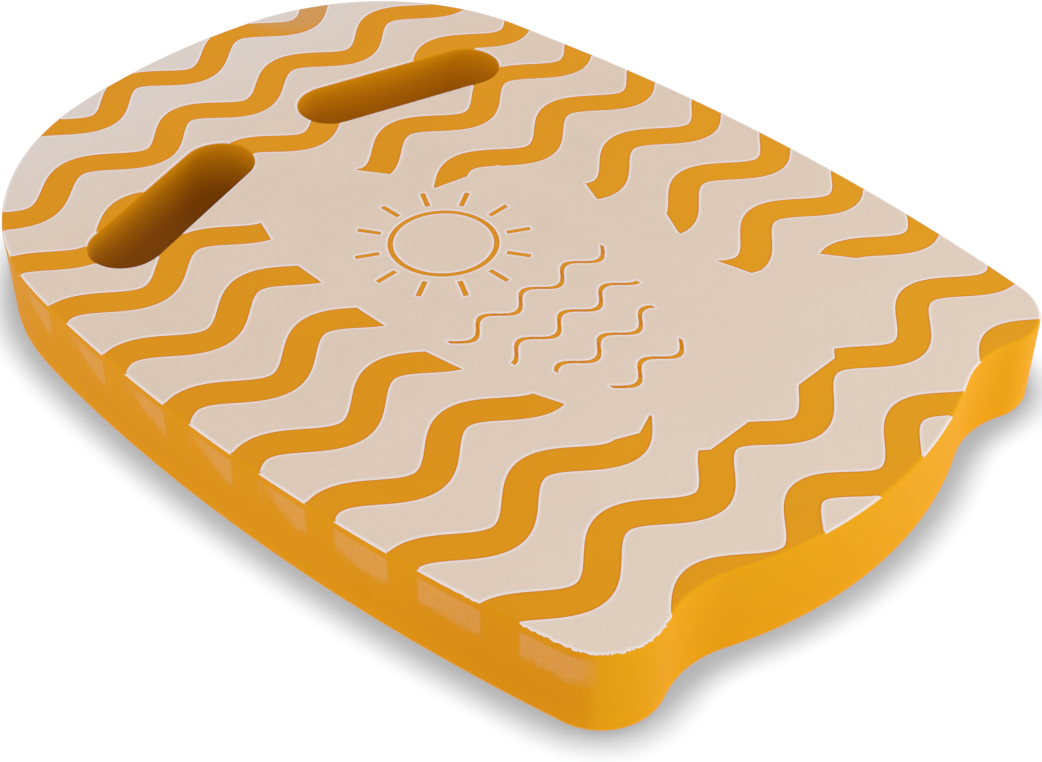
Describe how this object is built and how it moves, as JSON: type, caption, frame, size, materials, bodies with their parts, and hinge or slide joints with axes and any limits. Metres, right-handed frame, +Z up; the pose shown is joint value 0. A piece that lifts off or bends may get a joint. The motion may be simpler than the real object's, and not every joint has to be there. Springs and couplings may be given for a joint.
{
  "type": "swimming kickboard",
  "caption": "Arched flat foam kickboard with slanted hand slots and a wavy printed top, held out in front to float on while kicking.",
  "frame": {"origin": "middle of the underside", "axes": "+Y towards the arched front, +Z up out of the printed face, +X to the right of someone looking towards the front"},
  "size_m": [0.3, 0.42, 0.0384],
  "materials": {
    "amber_foam": "matte closed-cell foam, dyed through",
    "cream_print": "thin matte printed skin"
  },
  "bodies": {
    "root": {"foam_board": "amber_foam", "front_left_print": "cream_print", "front_middle_print": "cream_print", "front_right_print": "cream_print", "front_strip_print": "cream_print", "hand_strip_print": "cream_print", "left_grip_print": "cream_print", "right_grip_print": "cream_print", "main_panel_print": "cream_print", "sun_disc_print": "cream_print", "tail_strip_print": "cream_print", "tail_left_print": "cream_print", "tail_right_print": "cream_print"}
  },
  "joints": []
}
